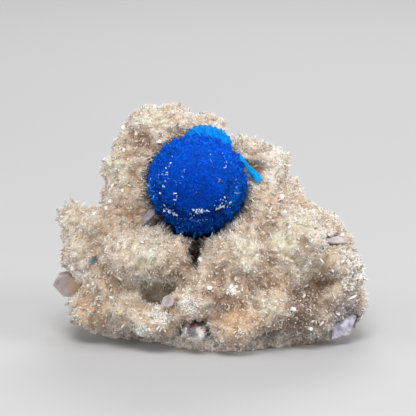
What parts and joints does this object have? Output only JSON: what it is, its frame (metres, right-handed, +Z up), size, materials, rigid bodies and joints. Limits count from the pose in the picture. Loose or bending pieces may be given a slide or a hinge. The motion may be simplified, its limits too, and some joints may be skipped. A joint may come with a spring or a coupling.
{
  "type": "cavansite mineral specimen",
  "caption": "Blue cavansite rosette with radiating blades, seated in a cream stilbite crust over a dark basalt matrix with a flat foot to stand on",
  "frame": {"origin": "middle of the specimen's outline, on the surface that it stands on", "axes": "+X to the right and -Y towards the display side, +Z up"},
  "size_m": [0.0502, 0.0302, 0.0375],
  "materials": {
    "basalt": "matte",
    "stilbite": "satin",
    "pale_stilbite": "satin",
    "cavansite": "satin",
    "pale_cavansite": "satin"
  },
  "bodies": {
    "root": {"basalt_matrix": "basalt", "stilbite_crust": "stilbite", "cavansite_ball": "cavansite", "cavansite_fan": "pale_cavansite", "cavansite_sheaf": "pale_cavansite", "cavansite_fleck_left": "pale_cavansite", "cavansite_fleck_right": "pale_cavansite", "stilbite_plate_left": "pale_stilbite", "stilbite_plate_by_ball": "pale_stilbite", "stilbite_plate_right": "pale_stilbite", "stilbite_plate_bright": "pale_stilbite", "stilbite_plate_low_right": "pale_stilbite", "stilbite_disc_low": "pale_stilbite"}
  },
  "joints": []
}
